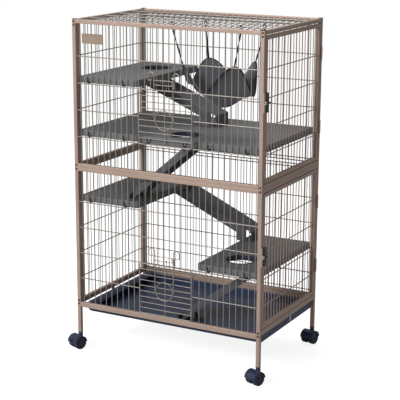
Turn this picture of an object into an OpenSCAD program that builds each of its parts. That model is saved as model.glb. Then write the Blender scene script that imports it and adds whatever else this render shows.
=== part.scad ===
// Ferret cage: two wire sections bolted one on the other, on a square tube frame with twin casters,
// with moulded shelves and ramps, a fleece hammock, hinged doors and a slide-out tray.
// +X is to the right, the small doors are on the -Y side, and the floor is at z = 0.

/* [Frame] */
// Width of the frame, outside the posts
frame_w = 790; // [720:2:860]
// Depth of the frame, outside the posts
frame_d = 510; // [470:2:560]
// Height of each of the two sections
section_h = 559; // [545:1:590]
// Side of the square tube that posts and rails are made of
tube = 15; // [14.5:0.1:16]
// Wall of the square tube
tube_wall = 1.2; // [1:0.1:1.4]
// Outer radius of the tube's corners
tube_bend = 2; // [1.2:0.1:2]
// Height of the bottom rails
base_rail_h = 20; // [18:0.5:22]
// How far the side and rear bottom rails sit above the frame's underside
rail_lift = 12; // [11.5:0.5:14]
// Length of the legs below the frame
leg_h = 105; // [90:1:130]
// Gap between tube and what is plugged into it
plug_gap = 0.1; // [0.05:0.01:0.15]

/* [Fixings] */
// Diameter of the frame bolts' shanks
bolt_d = 5; // [4:0.1:6]
// Diameter of the frame bolts' heads
bolt_head_d = 9; // [8:0.1:10]
// Height of the frame bolts' heads
bolt_head_h = 2.4; // [1.8:0.1:3]
// Length of the frame bolts' shanks
bolt_l = 9; // [6:0.5:11]
// Distance of the outer bolt of a pair from the end of its section
bolt_edge = 7.5; // [7:0.1:8]
// Distance between the two bolts at the frame's top and bottom
bolt_pair = 13; // [10:0.5:20]
// Length of the sleeve that joins two posts
sleeve_l = 60; // [40:1:90]
// Wall of the sleeve
sleeve_wall = 1.4; // [1.1:0.1:1.6]
// Height of a post cap above its post
cap_h = 2; // [1.5:0.1:3]
// Depth of a post cap's plug
cap_plug = 4; // [3:0.1:4.2]

/* [Wires] */
// Diameter of the close wires
wire_d = 3; // [2.5:0.1:3.4]
// Diameter of the row wires and the door frames
row_d = 4; // [3.4:0.1:4.4]
// Spacing of the close wires
wire_pitch = 25.4; // [24:0.1:27]
// Spacing of the row wires
row_pitch = 101.6; // [98:0.1:104]
// Height of the lowest row wire above the bottom of its section
first_row = 117.6; // [112:0.1:124]
// Distance of the close wires from the frame's inner faces
wire_inset = 5; // [4.5:0.1:5.4]
// Gap between wires that cross
wire_gap = 0.05; // [0.03:0.01:0.1]

/* [Small doors] */
// Number of close wires that each small door's opening cuts
door_cols = 8; // [6:2:10]
// Gap between a small door and the row wires behind it
door_gap = 0.3; // [0.2:0.05:0.5]
// Radius of the bends at a small door's corners
door_bend = 8; // [6:0.5:11]
// Number of bars across a small door
door_bars = 8; // [6:1:9]
// Radius of the ring on a small door
ring_r = 36.2; // [32:0.1:40]
// Side offset of the ring on a small door
ring_x = -2.5; // [-6:0.5:2]
// How far the ring sits below the middle, on the lower and the upper small door
ring_drop = [0, 6];
// Diameter of the latch guides on a small door
guide_d = 3.5; // [3:0.1:3.8]
// Height of the straight part of the latch guides above the door
guide_rise = 53; // [50:1:58]
// Radius of the scroll at the top of a latch guide
scroll_r = 13; // [11:0.5:14]
// Radial clearance of a wire that turns or slides in a wire eye
eye_gap = 0.08; // [0.05:0.01:0.1]
// Wall of the wire eyes
eye_wall = 1.8; // [1.5:0.1:2]
// Height of a wire eye
eye_h = 3.2; // [3:0.1:4]
// Heights of the two latch bars above the door
latch_bars = [20, 37];
// Travel of a drop latch, from lifted to closed
latch_drop = 9; // [8:0.5:10]
// Heights of the latch's turns on the right guide, above the lowest one
latch_turns = [0, 10, 20];
// How far back the hook of a drop latch reaches behind the row wire
hook_back = 7.05; // [6:0.05:8]
// Height of the hook's tip above the row wire, with the latch lifted
hook_lift = 1; // [0.5:0.1:2]
// Diameter of the hook
hook_d = 2.8; // [2.2:0.1:2.9]
// Radius of the bend in the hook
hook_bend = 4; // [3:0.5:6]

/* [Side doors] */
// Thickness of the side doors' tube
side_tube = 14; // [13:0.5:14.5]
// Gap round the side doors, at the front and the back
side_gap = 3; // [2.5:0.1:4]
// Height that is left free above each side door
side_top_gap = [3, 4];
// Height that is left free below each side door
side_low_gap = [2, 3];
// Diameter of a hinge pin
hinge_pin_d = 4; // [3:0.1:4.4]
// Outer diameter of a hinge's knuckles
knuckle_d = 8; // [7:0.1:8.4]
// Height of a hinge
hinge_h = 50; // [40:1:60]
// Thickness of a hinge's leaves
leaf_t = 1.2; // [1:0.1:1.5]
// Width of a hinge's leaves
leaf_w = 14; // [12:0.5:14.5]
// Heights of the hinges above the bottom of their section, lower door
low_hinges = [154, 412];
// Heights of the hinges above the bottom of their section, upper door
up_hinges = [148, 431];
// Height of a side latch's case and strike
latch_h = 69; // [55:1:80]
// Heights of the side latches above the bottom of their section
latch_z = [311, 309.5];
// Diameter of a side latch's bolt
slide_d = 5; // [4:0.1:5.4]
// Travel of a side latch's bolt
slide_travel = 8; // [6:0.5:9]
// Diameter of a side latch's knob
knob_d = 8; // [7:0.1:10]

/* [Shelves] */
// Gap between the shelves and the frame's inner face, front and rear
shelf_gap = 2; // [1.5:0.1:3]
// Gap between the shelves and the frame's inner face, left and right
shelf_end_gap = 5; // [4.5:0.1:8]
// Gap between two shelf modules
shelf_joint = 0.5; // [0.3:0.1:1]
// Height of a shelf's rim
shelf_h = 25; // [20:0.5:30]
// Wall of the shelves and ramps
shelf_wall = 3; // [2.5:0.1:3.5]
// Radius of a shelf's corners
shelf_corner = 12; // [8:0.5:20]
// Radius of the holes that the ramps lead to
hole_r = 55; // [45:0.5:60]
// Depth of the collar round a hole
hole_collar = 8; // [6:0.5:12]
// Distance of a shelf's clips from its middle, before they are set between two wires
clip_x = 75; // [60:1:90]
// Width of a shelf's clips
clip_w = 8; // [6:0.1:10]
// Thickness of a shelf's clips
clip_t = 5; // [3:0.1:6]
// Width of the slots beside a clip
slot_w = 5; // [4:0.1:6]
// Height of the slots beside a clip
slot_h = 12; // [8:0.5:15]
// Hole in the upper left shelf: place along X, and distance from the shelf's rear edge
upper_hole = [-235, 148];
// Hole in the middle deck: place along X, and distance from the shelf's front edge
deck_hole = [25, 93];
// Hole in the lower right shelf: place along X, and distance from the shelf's front edge
low_right_hole = [245, 128];

/* [Ramps] */
// Width of the ramps
ramp_w = 115; // [104:1:116]
// Depth of a ramp's flanges, straight down
ramp_flange = 34; // [24:0.5:36]
// Radius of the corners at a ramp's foot
foot_r = 50; // [36:1:51]
// Length of a ramp's toe, where its flanges reach down to what it stands on
toe_l = 30; // [20:1:50]
// Radius of the corners at a ramp's top
ramp_top_r = 8; // [5:0.5:15]
// Foot of the upper ramp: where it ends along X, and the height of its toe
upper_foot = [58, 46];
// Foot of the deck's ramp: where it ends along X, and the height of its toe
deck_foot = [-180, 20];
// Foot of the long ramp: where it ends along X, and the height of its toe
long_foot = [172, 38];
// Foot of the lowest ramp, in the tray: where it ends along X, and the height of its toe
low_foot = [0, 20];
// Distance of the deck's ramp from the hole's middle, towards the front
deck_ramp_shift = 18; // [0:1:20]
// Distance of the lowest ramp's head below the hole's collar
low_head_drop = 12; // [2:0.5:14]
// Distance of the long ramp's head from its shelf's right edge
long_head = 57; // [50:1:70]
// Gap above the long ramp's head
long_head_gap = 3.3; // [2:0.1:5]
// Gap between the long ramp and the rim at the rear of its shelf
long_ramp_gap = 1; // [0.6:0.1:5]

/* [Hammock] */
// Thickness of the hammock's cloth
cloth_t = 3; // [2:0.1:4]
// Sag of the hammock's front edge
sag_front = 94; // [70:1:100]
// Sag of the hammock's rear edge
sag_rear = 80; // [50:1:90]
// Sag of the hammock's left edge
sag_left = 80; // [60:1:90]
// Sag of the hammock's right edge
sag_right = 114; // [70:1:116]
// How far the bottom of the pouch is drawn up
pouch_lift = 25; // [10:1:40]
// How far the hammock's left edge stands out between its corners
out_left = 16; // [5:1:25]
// How far the hammock's right edge stands out between its corners
out_right = 32; // [10:1:40]
// How far the hammock's front edge stands out between its corners
out_front = 23; // [10:1:35]
// How far the hammock's rear edge stands out between its corners
out_rear = 18; // [5:1:25]
// Depth of the soft folds that run across the hammock
fold_depth = 4; // [0:0.5:6]
// Diameter of the hammock's straps
strap_d = 6; // [4:0.5:8]
// Gap between the straps and the cloth's corners
strap_gap = 0.45; // [0.4:0.05:1]
// Radius of the hammock's clips
clip_r = 9; // [8:0.1:10]
// Diameter of the clips' wire
clip_wire_d = 3.5; // [3:0.1:4]

/* [Tray] */
// Height of the tray
tray_h = 30; // [26:0.5:34]
// Wall of the tray
tray_wall = 2.5; // [2:0.1:3]
// How far the tray's rim lies below the side rails
tray_drop = 1.5; // [1:0.1:2]
// Radius of the tray's rounded left end
tray_round = 22; // [15:0.5:24]
// Width of the tray's rim
tray_rim = 9.5; // [8:0.1:10]
// Thickness of the tray's rim
rim_t = 2; // [1.5:0.1:2.5]
// Thickness of the angle runners
runner_t = 1.5; // [1.2:0.1:2]
// Width of a runner's two legs
runner_w = 10; // [9:0.5:10.5]
// Width of the stop behind the tray
stop_w = 20; // [15:1:30]
// Height of the stop above the tray's rim
stop_h = 16; // [12:1:20]
// Width of the notch in the tray's right end
notch_w = 20; // [17:0.5:30]
// Width of the turn button
button_w = 13; // [10:0.5:14]
// Thickness of the turn button
button_t = 2; // [1.5:0.1:2.5]
// Distance from the turn button's rivet to its lower end
button_l = 31; // [29:0.5:32]
// Side place of the turn button
button_y = 8; // [-40:1:60]
// Side place of the stop behind the tray
stop_y = -20; // [-60:1:40]

/* [Casters] */
// Height from the floor to the bottom of the legs
caster_h = 64; // [61:0.5:70]
// Radius of the wheels
wheel_r = 25; // [22:0.5:25.5]
// Width of one wheel
wheel_w = 20; // [16:0.5:22]
// Gap between the two wheels of a caster
wheel_split = 12; // [10:0.5:14]
// Distance from the swivel to the axle
trail = 16; // [13:0.5:17]
// Diameter of the stems
stem_d = 8; // [7:0.1:9]
// Length of the stems in their sockets
stem_l = 30; // [20:1:32]
// Diameter of the axles
axle_d = 6; // [5:0.1:7]
// Radial clearance of a shaft that turns in its bore
shaft_gap = 0.05; // [0.02:0.01:0.09]
// Wall of the hood over the wheels
hood_wall = 2.5; // [2:0.1:3]

/* [Hidden] */

$fn = 48;
far = 2000;
cut = 1;

frame_colour = [0.72, 0.6, 0.52];
wire_colour = [0.72, 0.69, 0.62];
shelf_colour = [0.4, 0.4, 0.42];
cloth_colour = [0.25, 0.25, 0.28];
tray_colour = [0.12, 0.13, 0.2];
black = [0.07, 0.07, 0.08];
zinc = [0.78, 0.78, 0.78];

// Heights and half sizes that follow from the frame
base_z = caster_h + leg_h;
mid_z = base_z + section_h;
top_z = mid_z + section_h;
out_x = frame_w / 2;
out_y = frame_d / 2;
in_x = out_x - tube;
in_y = out_y - tube;
post_x = out_x - tube / 2;
post_y = out_y - tube / 2;
rail_z = base_z + rail_lift;
function section_z(s) = base_z + s * section_h;
function row_z(s, k) = section_z(s) + first_row + k * row_pitch;
function ceiling_z(s) = section_z(s + 1) - tube;
function floor_z(s) = s == 0 ? rail_z + base_rail_h : mid_z + tube;
rows = floor((section_h - tube - row_pitch / 2 - first_row) / row_pitch) + 1;

// Layers of a panel, counted outwards from the frame's middle
col_off = wire_inset;
row_off = col_off + (wire_d + row_d) / 2 + wire_gap;
col_y = in_y + col_off;
row_y = in_y + row_off;
door_y = row_y + row_d + door_gap;
bar_back_y = door_y - (row_d + wire_d) / 2 - wire_gap + (row_d - wire_d) / 2;
guide_y = door_y + (row_d + guide_d) / 2 + wire_gap;
function columns(half) = floor((half - 2 * wire_d) / wire_pitch + 0.5);
function column_at(half) = [for (k = [-columns(half):columns(half) - 1]) (k + 0.5) * wire_pitch];

// Small door openings
open_half = (door_cols + 1) / 2 * wire_pitch;
door_half = open_half - 2.8;
function door_low_z(s) = s == 0 ? base_z + base_rail_h + row_d / 2 + 1 : row_z(1, 0);
function door_top_z(s) = s == 0 ? row_z(0, 1) : row_z(1, 2);
function ring_z(s) = (door_low_z(s) + door_top_z(s)) / 2 - ring_drop[s];
guide_x = ring_r + wire_d / 2 + wire_gap + guide_d / 2;

// Side doors and their hinges
side_in_x = out_x - side_tube;
side_half = in_y - side_gap;
hinge_x = out_x + knuckle_d / 2;
hinge_y = in_y - 2;
leaf_clear = knuckle_d / 2 + 1.2;
strike_gap = 0.5;
case_y = [side_half + 2.5, side_half - 11];
case_t = 8;
slide_x = out_x + case_t / 2;
knob_rest_y = -(case_y[1] + 5);

// Shelves
shelf_half = in_y - shelf_gap;
shelf_pitch = (frame_w - 2 * tube - 2 * shelf_end_gap) / 3;
shelf_l = shelf_pitch - shelf_joint;
seat = row_d / 2 + wire_gap;
deck_z = row_z(1, 0) + seat;
upper_shelf_z = row_z(1, 2) + seat;
low_left_z = row_z(0, 3) + seat;
low_right_z = row_z(0, 1) + seat;
clip_reach = row_off + row_d / 2 + shelf_gap;
hole_upper = [upper_hole[0], shelf_half - upper_hole[1]];
hole_deck = [deck_hole[0], deck_hole[1] - shelf_half];
hole_low_right = [low_right_hole[0], low_right_hole[1] - shelf_half];
long_ramp_y = shelf_half - shelf_wall - long_ramp_gap - ramp_w / 2;
function between_wires(x) = round(x / wire_pitch) * wire_pitch;

// Ramps: the height of the foot above what it stands on, and its top under the shelf
foot_gap = 0.3;
tab_t = 3;
tab_w = 60;
ramp_reach = hole_r + shelf_wall + 4;

// Tray
tray_top = rail_z - tray_drop;
tray_bottom = tray_top - tray_h;
tray_right = out_x - 7;
tray_left = -(in_x - 13);
tray_half = in_y - 12;
tray_floor = tray_bottom + tray_wall;
rivet_z = rail_z + 13;

// Casters: front left, front right, rear left, rear right
caster_turn = [-21, -20, 165, -10];
caster_side = [[-1, -1], [1, -1], [-1, 1], [1, 1]];
hood_r = wheel_r + 1 + hood_wall;
hood_half = wheel_split / 2 + wheel_w + 1;

// Hammock: corners and the places of its clips, with heights above the frame's underside
hammock_corner = [[8, -140, 960], [234, -158, 971], [262, -38, 979], [58, -32, 978]];
hammock_w = norm(hammock_corner[1] - hammock_corner[0]);
hammock_l = norm(hammock_corner[3] - hammock_corner[0]);
clip_at = [[-25.4, 0], [254, 0], [298, 1], [58, 1]];
hammock_steps = 20;

// A hollow bar of square or flat tube from the corner p, of outer size s, open along axis a
module bar(p, s, a) {
    face = [s[a == 0 ? 1 : 0], s[a == 2 ? 1 : 2]];
    turn = [[90, 0, 90], [90, 0, 0], [0, 0, 0]];
    translate(p + [0, a == 1 ? s[1] : 0, 0]) rotate(turn[a]) linear_extrude(s[a]) difference() {
        translate([0, face[1] / 2]) rounded(face[0], face[1], tube_bend, tube_bend);
        translate([tube_wall, tube_wall]) square([face[0] - 2 * tube_wall, face[1] - 2 * tube_wall]);
    }
}

// A straight wire from the point p along x, y or z (a is 0, 1 or 2)
module wire(p, l, a, d) {
    turn = [[0, 90, 0], [-90, 0, 0], [0, 0, 0]];
    translate(p) rotate(turn[a]) cylinder(d = d, h = l, $fn = 32);
}

// A bent wire in the upright plane, from angle a0 to a1 about the point p
module bend(p, r, a0, a1, d) {
    translate(p) rotate([90, 0, 0]) rotate([0, 0, a0])
        rotate_extrude(angle = a1 - a0) translate([r, 0]) circle(d = d, $fn = 32);
}

// A straight rod between two points
module rod(p, q, d) {
    v = q - p;
    translate(p) rotate([0, acos(v[2] / norm(v)), atan2(v[1], v[0])]) cylinder(d = d, h = norm(v));
}

// A flat shape with corners of radius r0 at x = 0 and r1 at x = l
module rounded(l, w, r0, r1) {
    translate([r0, -w / 2]) square([l - r0 - r1, w]);
    translate([0, r0 - w / 2]) square([l, w - 2 * r0]);
    translate([l / 2, r1 - w / 2]) square([l / 2, w - 2 * r1]);
    for (s = [-1, 1]) {
        translate([r0, s * (w / 2 - r0)]) circle(r0);
        translate([l - r1, s * (w / 2 - r1)]) circle(r1);
    }
}

// Heights of the bolts in the lower (s = 0) and upper (s = 1) posts
function bolt_zs(s) = s == 0
    ? [base_z + bolt_edge + 5.5, base_z + bolt_edge + 5.5 + bolt_pair, mid_z - bolt_edge]
    : [mid_z + bolt_edge, top_z - bolt_edge - bolt_pair, top_z - bolt_edge];

module corner_posts() {
    for (c = caster_side) translate([c[0] * post_x, c[1] * post_y, 0])
        rotate([0, 0, c[1] < 0 ? 0 : 180]) children();
}

module posts(s, z0, z1) {
    color(frame_colour) corner_posts() difference() {
        bar([-tube / 2, -tube / 2, z0], [tube, tube, z1 - z0], 2);
        for (z = bolt_zs(s)) wire([0, -tube / 2 - cut, z], tube_wall + 2 * cut, 1, bolt_d + 0.2);
    }
}

module lower_posts() { posts(0, caster_h, mid_z); }

module upper_posts() { posts(1, mid_z, top_z); }

module front_rails() {
    color(frame_colour) {
        bar([-in_x, -out_y, base_z], [2 * in_x, tube, base_rail_h], 0);
        for (z = [mid_z - tube, mid_z, top_z - tube]) bar([-in_x, -out_y, z], [2 * in_x, tube, tube], 0);
    }
}

module rear_rails() {
    color(frame_colour) {
        bar([-in_x, in_y, rail_z], [2 * in_x, tube, base_rail_h], 0);
        bar([-in_x, in_y, top_z - tube], [2 * in_x, tube, tube], 0);
    }
}

module left_frame(s) {
    low = s == 0 ? rail_z : mid_z;
    low_h = s == 0 ? base_rail_h : tube;
    color(frame_colour) {
        bar([-out_x, -in_y, low], [tube, 2 * in_y, low_h], 1);
        bar([-out_x, -in_y, ceiling_z(s)], [tube, 2 * in_y, tube], 1);
        for (y = [-in_y, in_y - tube])
            bar([-out_x, y, low + low_h + wire_gap], [tube, tube, ceiling_z(s) - low - low_h - 2 * wire_gap], 2);
    }
}

module left_frame_lower() { left_frame(0); }

module left_frame_upper() { left_frame(1); }

module right_rails() {
    color(frame_colour) {
        bar([in_x, -in_y, rail_z], [tube, 2 * in_y, base_rail_h], 1);
        for (z = [mid_z - tube, mid_z, top_z - tube]) bar([in_x, -in_y, z], [tube, 2 * in_y, tube], 1);
    }
}

module joining_sleeves() {
    side = tube - 2 * tube_wall - 2 * plug_gap;
    color(zinc) corner_posts() difference() {
        translate([-side / 2, -side / 2, mid_z - sleeve_l / 2]) cube([side, side, sleeve_l]);
        translate([0, 0, mid_z]) cube([side - 2 * sleeve_wall, side - 2 * sleeve_wall, 2 * sleeve_l], true);
        for (z = [mid_z - bolt_edge, mid_z + bolt_edge])
            wire([0, -tube, z], tube, 1, bolt_d + 0.2);
    }
}

module caster_sockets() {
    side = tube - 2 * tube_wall - 2 * plug_gap;
    color(black) corner_posts() difference() {
        union() {
            translate([-side / 2, -side / 2, caster_h - cut]) cube([side, side, stem_l + 5 + cut]);
            translate([-tube / 2, -tube / 2, caster_h - 1.5]) cube([tube, tube, 1.5]);
        }
        translate([0, 0, caster_h - 3]) cylinder(r = stem_d / 2 + shaft_gap, h = stem_l + 5);
    }
}

module post_caps() {
    side = tube - 2 * tube_wall - 2 * plug_gap;
    color(black) corner_posts() {
        translate([-side / 2, -side / 2, top_z - cap_plug]) cube([side, side, cap_plug]);
        translate([-tube / 2, -tube / 2, top_z]) cube([tube, tube, cap_h / 2]);
        translate([0, 0, top_z + cap_h / 2]) linear_extrude(cap_h / 2)
            translate([-tube / 2 + 0.5, 0]) rounded(tube - 1, tube - 1, 2, 2);
    }
}

module frame_bolts() {
    ball = (bolt_head_d * bolt_head_d / 4 + bolt_head_h * bolt_head_h) / (2 * bolt_head_h);
    color([0.2, 0.17, 0.16]) corner_posts() for (z = concat(bolt_zs(0), bolt_zs(1))) translate([0, -tube / 2, z]) {
        intersection() {
            translate([0, ball - bolt_head_h, 0]) sphere(ball);
            wire([0, -bolt_head_h - cut, 0], bolt_head_h + cut, 1, bolt_head_d + 1);
        }
        wire([0, -cut, 0], bolt_l + cut, 1, bolt_d);
    }
}

// Close wires and rows of one panel, drawn in the front's place; hole cuts the small door's opening
module panel(half, z0, z1, row_zs, out, hole_z, cut_row) {
    for (x = column_at(half)) {
        if (hole_z == undef || abs(x) > open_half - cut) {
            wire([x, -out - col_off, z0], z1 - z0, 2, wire_d);
        } else {
            if (hole_z[0] > z0) wire([x, -out - col_off, z0], hole_z[0] - z0, 2, wire_d);
            wire([x, -out - col_off, hole_z[1]], z1 - hole_z[1], 2, wire_d);
        }
    }
    for (z = row_zs) {
        if (z == cut_row) {
            for (x = [-half, open_half]) wire([x, -out - row_off, z], half - open_half, 0, row_d);
        } else {
            wire([-half, -out - row_off, z], 2 * half, 0, row_d);
        }
    }
}

function all_rows(s) = [for (k = [0:rows - 1]) row_z(s, k)];

// Eyes that carry a small door's right-hand wire, each with a tail to the panel's wire
module door_eyes(s) {
    bay = (door_top_z(s) - door_low_z(s)) / (door_bars + 1);
    for (z = [door_low_z(s) + 1.5 * bay, door_top_z(s) - 1.5 * bay]) difference() {
        union() {
            wire([door_half, -door_y, z - eye_h], 2 * eye_h, 2, row_d + 2 * (eye_gap + eye_wall));
            translate([open_half - 1, -door_y, z - eye_h]) cube([2, door_y - col_y - wire_d / 2 + 0.5, 2 * eye_h]);
        }
        wire([door_half, -door_y, z - 2 * eye_h], 4 * eye_h, 2, row_d + 2 * eye_gap);
    }
}

module front_wires(s) {
    z0 = s == 0 ? base_z + base_rail_h : mid_z + tube;
    hole = [s == 0 ? z0 : door_low_z(1) + row_d / 2, door_top_z(s) - row_d / 2];
    color(wire_colour) {
        panel(in_x, z0, ceiling_z(s), all_rows(s), in_y, hole, row_z(s, s));
        door_eyes(s);
    }
}

module front_wires_lower() { front_wires(0); }

module front_wires_upper() { front_wires(1); }

// The rear panels have no rail between them: double edge wires close their ends
module rear_wires(s) {
    edge = 12;
    z0 = s == 0 ? rail_z + base_rail_h + row_d / 2 : mid_z + 5;
    z1 = s == 0 ? mid_z - 9 : top_z - tube - row_d / 2;
    color(wire_colour) rotate([0, 0, 180])
        panel(in_x, z0 - row_d / 2, z1 + row_d / 2, concat([z0, z0 + edge], all_rows(s), [z1 - edge, z1]), in_y);
}

module rear_wires_lower() { rear_wires(0); }

module rear_wires_upper() { rear_wires(1); }

module left_wires(s) {
    color(wire_colour) rotate([0, 0, -90])
        panel(in_y - tube, floor_z(s), ceiling_z(s), all_rows(s), in_x);
}

module left_wires_lower() { left_wires(0); }

module left_wires_upper() { left_wires(1); }

top_wire_z = top_z - 6;
top_row_z = top_wire_z + (wire_d + row_d) / 2 + wire_gap;
top_row_y = row_pitch / 2;

module top_wires() {
    color(wire_colour) {
        for (x = column_at(in_x)) wire([x, -in_y, top_wire_z], 2 * in_y, 1, wire_d);
        for (y = [-3:2:3]) wire([-in_x, y * top_row_y, top_row_z], 2 * in_x, 0, row_d);
    }
}

plate_w = 91;
plate_h = 37;
plate_t = 1.2;
plate_x = -(in_x - 23);
plate_lift = 5;
plate_z = (row_z(1, rows - 1) + row_d / 2 + ceiling_z(1) - plate_h) / 2 + plate_lift;

module name_plate() {
    back = col_y + wire_d / 2 + wire_gap;
    color([0.8, 0.62, 0.42]) translate([plate_x, -back, plate_z]) rotate([90, 0, 0])
        linear_extrude(plate_t) translate([0, plate_h / 2]) rounded(plate_w, plate_h, 4, 4);
}

// One side of a hinge: a leaf on the outer face and its share of the knuckles
module hinge_half(z, spans, dir) {
    bore = hinge_pin_d + 2 * shaft_gap;
    y0 = dir < 0 ? hinge_y - leaf_w : hinge_y + leaf_clear;
    translate([out_x, y0, z - hinge_h / 2]) cube([leaf_t, leaf_w - leaf_clear, hinge_h]);
    for (s = spans) difference() {
        union() {
            wire([hinge_x, hinge_y, z + s[0]], s[1] - s[0], 2, knuckle_d);
            translate([out_x, dir < 0 ? hinge_y - leaf_w : hinge_y, z + s[0]])
                cube([leaf_t, leaf_w, s[1] - s[0]]);
        }
        wire([hinge_x, hinge_y, z - hinge_h], 2 * hinge_h, 2, bore);
    }
}

knuckle_gap = 0.3;
frame_span = [[-hinge_h / 4 + knuckle_gap, hinge_h / 4 - knuckle_gap]];
door_spans = [[-hinge_h / 2, -hinge_h / 4], [hinge_h / 4, hinge_h / 2]];
hinge_zs = concat([for (z = low_hinges) base_z + z], [for (z = up_hinges) mid_z + z]);

module side_hinge_leaves() {
    color(frame_colour) for (z = hinge_zs) hinge_half(z, frame_span, 1);
}

module side_hinge_pins() {
    head = 1.5;
    color(zinc) for (z = hinge_zs) {
        wire([hinge_x, hinge_y, z - hinge_h / 2 - head], hinge_h + 2 * head, 2, hinge_pin_d);
        for (e = [-hinge_h / 2 - head, hinge_h / 2 + wire_gap])
            wire([hinge_x, hinge_y, z + e - (e < 0 ? wire_gap : 0)], head, 2, knuckle_d - 2);
    }
}

// The side door: a frame of flat-sided tube with close wires and rows inside it
module side_door(s) {
    z0 = floor_z(s) + side_low_gap[s];
    z1 = ceiling_z(s) - side_top_gap[s];
    inner = side_half - side_tube;
    hinges = s == 0 ? [for (z = low_hinges) base_z + z] : [for (z = up_hinges) mid_z + z];
    color(frame_colour) {
        for (z = [z0, z1 - side_tube]) bar([side_in_x, -side_half, z], [side_tube, 2 * side_half, side_tube], 1);
        for (y = [-side_half, side_half - side_tube])
            bar([side_in_x, y, z0 + side_tube + wire_gap],
                [side_tube, side_tube, z1 - z0 - 2 * side_tube - 2 * wire_gap], 2);
    }
    color(frame_colour) for (z = hinges) hinge_half(z, door_spans, -1);
    color(wire_colour) rotate([0, 0, 90])
        panel(inner - wire_gap, z0 + side_tube + wire_gap, z1 - side_tube - wire_gap, all_rows(s), in_x);
}

module side_door_lower() { side_door(0); }

module side_door_upper() { side_door(1); }

function side_latch_z(s) = section_z(s) + latch_z[s];

module latch_strikes() {
    keeper = slide_d + 2 * strike_gap;
    color(zinc) for (s = [0, 1]) translate([out_x, -out_y, side_latch_z(s)]) difference() {
        union() {
            translate([0, 0, -latch_h / 2]) cube([leaf_t, tube - 1.5, latch_h]);
            translate([0, 0, -slide_d]) cube([case_t, tube - 1.5, 2 * slide_d]);
        }
        translate([case_t / 2 - keeper / 2, -cut, -keeper / 2]) cube([keeper, tube, keeper]);
    }
}

module latch_case(s) {
    y0 = -case_y[0];
    l = case_y[0] - case_y[1];
    slot = slide_travel + knob_d / 2;
    color(black) translate([out_x, y0, side_latch_z(s)]) difference() {
        translate([0, 0, -latch_h / 2]) cube([case_t, l, latch_h]);
        wire([case_t / 2, -cut, 0], l - 1, 1, slide_d + 2 * shaft_gap);
        translate([case_t / 2, -cut, -knob_d / 4 - 0.3]) cube([case_t, l - 1, knob_d / 2 + 0.6]);
    }
}

module latch_case_lower() { latch_case(0); }

module latch_case_upper() { latch_case(1); }

// The sliding bolt, drawn back, with its knob on a neck that runs in the case's slot
module latch_bolt(s) {
    z = side_latch_z(s);
    l = case_y[0] - case_y[1] - 3.5;
    color(zinc) {
        wire([slide_x, -case_y[0] + 1, z], l, 1, slide_d);
        wire([slide_x, knob_rest_y, z], case_t / 2 + 1.5, 0, knob_d / 2);
        wire([out_x + case_t + 0.6, knob_rest_y, z], 6, 0, knob_d);
    }
}

module latch_bolt_lower() { latch_bolt(0); }

module latch_bolt_upper() { latch_bolt(1); }

module tray_runners() {
    lip_z = tray_top - rim_t - foot_gap;
    color(frame_colour) for (s = [-1, 1]) mirror([0, s > 0 ? 1 : 0, 0]) {
        translate([-in_x + 2, -in_y, lip_z - runner_t]) cube([2 * in_x - 4, runner_w, runner_t]);
        translate([-in_x + 2, -in_y, lip_z - cut]) cube([2 * in_x - 4, runner_t, runner_w + cut]);
    }
}

module tray_stop() {
    nose = in_x + tray_left - 3.4;
    color(frame_colour) translate([-in_x, stop_y - stop_w / 2, 0]) {
        translate([0, 0, tray_top - 12]) cube([rim_t, stop_w, stop_h + 12]);
        translate([0, 0, tray_top - 8]) cube([nose, stop_w, 8 - 2 * foot_gap]);
    }
}

module tray_button_rivet() {
    color(zinc) {
        wire([out_x, button_y, rivet_z], button_t + 1.2, 0, bolt_d);
        wire([out_x + button_t + 1, button_y, rivet_z], 1.4, 0, bolt_d + 3);
    }
}

// A shelf module centred at x, with its underside at z, clips front and rear and up to one hole
module shelf(x, z, hole) {
    color(shelf_colour) translate([x, 0, z]) difference() {
        union() {
            translate([-shelf_l / 2, 0, 0]) difference() {
                linear_extrude(shelf_h) rounded(shelf_l, 2 * shelf_half, shelf_corner, shelf_corner);
                translate([shelf_wall, 0, -cut]) linear_extrude(shelf_h - shelf_wall + cut)
                    rounded(shelf_l - 2 * shelf_wall, 2 * (shelf_half - shelf_wall),
                        shelf_corner - shelf_wall, shelf_corner - shelf_wall);
            }
            if (hole != undef) translate([hole[0] - x, hole[1], shelf_h - hole_collar])
                cylinder(r = hole_r + shelf_wall, h = hole_collar, $fn = 96);
            for (e = [-1, 1]) translate([shelf_clip(x, e), 0, 0]) for (side = [-1, 1])
                translate([-clip_w / 2, side < 0 ? -in_y - clip_reach + shelf_gap : shelf_half - shelf_wall, 0])
                    cube([clip_w, clip_reach + shelf_wall, clip_t]);
        }
        if (hole != undef) translate([hole[0] - x, hole[1], -cut])
            cylinder(r = hole_r, h = shelf_h + 2 * cut, $fn = 96);
        for (e = [-1, 1], side = [-1, 1], n = [-1, 1])
            translate([shelf_clip(x, e) + n * (clip_w + slot_w + 2) / 2 - slot_w / 2,
                side < 0 ? -shelf_half - cut : shelf_half - shelf_wall - cut, 5])
                cube([slot_w, shelf_wall + 2 * cut, slot_h]);
    }
}

function shelf_clip(x, e) = between_wires(x + e * clip_x) - x;

module shelf_upper_left() { shelf(-shelf_pitch, upper_shelf_z, hole_upper); }

module deck_left() { shelf(-shelf_pitch, deck_z); }

module deck_middle() { shelf(0, deck_z, hole_deck); }

module deck_right() { shelf(shelf_pitch, deck_z); }

module shelf_lower_left() { shelf(-shelf_pitch, low_left_z); }

module shelf_lower_right() { shelf(shelf_pitch, low_right_z, hole_low_right); }

// A shape given by its outline along a ramp and its height, as wide as need be
module ramp_outline(points) {
    rotate([90, 0, 0]) linear_extrude(2 * ramp_w, center = true) polygon(points);
}

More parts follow.
